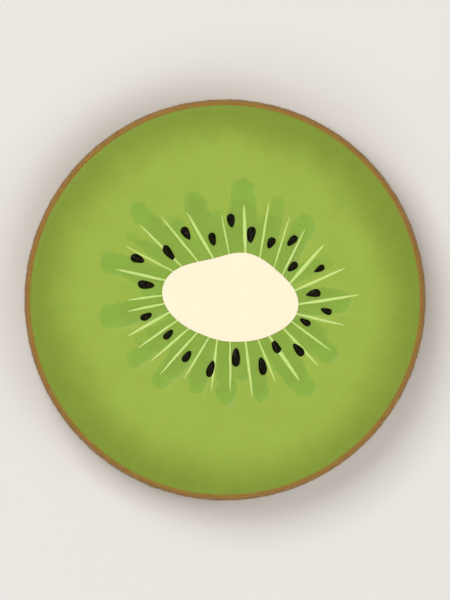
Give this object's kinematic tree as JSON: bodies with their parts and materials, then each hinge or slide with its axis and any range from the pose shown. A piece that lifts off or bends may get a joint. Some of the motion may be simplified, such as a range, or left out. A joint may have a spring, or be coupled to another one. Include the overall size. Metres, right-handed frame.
{
  "type": "kiwi slice",
  "caption": "Round slice cut across a ripe green kiwi fruit, with its thin brown skin left on, a pale oval core, fine pale rays and a ring of small dark seeds; lies flat on its lower face.",
  "frame": {"origin": "centre of the lower cut face, which rests on the table", "axes": "+Z along the fruit's axis, up through the shown face; +X along the core's long side; +Y towards the top of the picture"},
  "size_m": [0.05, 0.05, 0.0082],
  "materials": {
    "flesh": "moist ripe fruit flesh, yellow-green, darker in the seed chambers and towards the skin",
    "core": "dense cream-coloured fruit core, slightly moist",
    "ray": "pale yellow-green chamber walls",
    "seed": "glossy black-brown seed coat",
    "skin": "thin dry brown skin with short fuzz"
  },
  "bodies": {
    "root": {"flesh": "flesh", "core": "core"}
  },
  "joints": []
}
